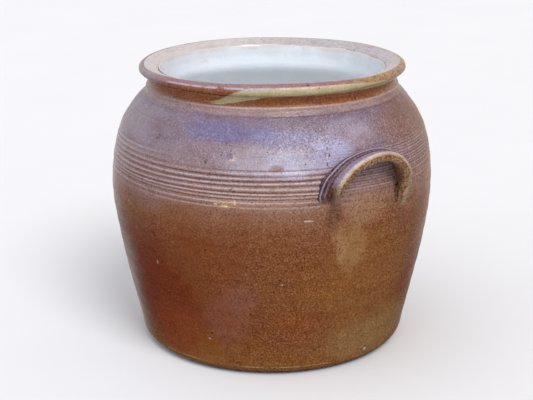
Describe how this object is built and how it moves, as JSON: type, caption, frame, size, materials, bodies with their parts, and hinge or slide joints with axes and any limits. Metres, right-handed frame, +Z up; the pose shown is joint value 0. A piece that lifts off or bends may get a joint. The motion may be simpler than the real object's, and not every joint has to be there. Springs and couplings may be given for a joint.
{
  "type": "stoneware butter crock",
  "caption": "Round-bellied salt-glazed stoneware crock with an everted rim, incised shoulder rings, a white glazed inside and arched strap handles.",
  "frame": {"origin": "middle of the foot, on the surface that the crock stands on", "axes": "+Z up through the mouth, +X through the middle of the right handle; the left handle is on -X"},
  "size_m": [0.289, 0.2602, 0.228],
  "materials": {
    "stoneware": "satin salt glaze, brown with violet and ochre flashes and dark specks",
    "white_glaze": "smooth gloss"
  },
  "bodies": {
    "root": {"stoneware_pot": "stoneware", "white_glaze_lining": "white_glaze", "handle_right": "stoneware", "handle_left": "stoneware"}
  },
  "joints": []
}
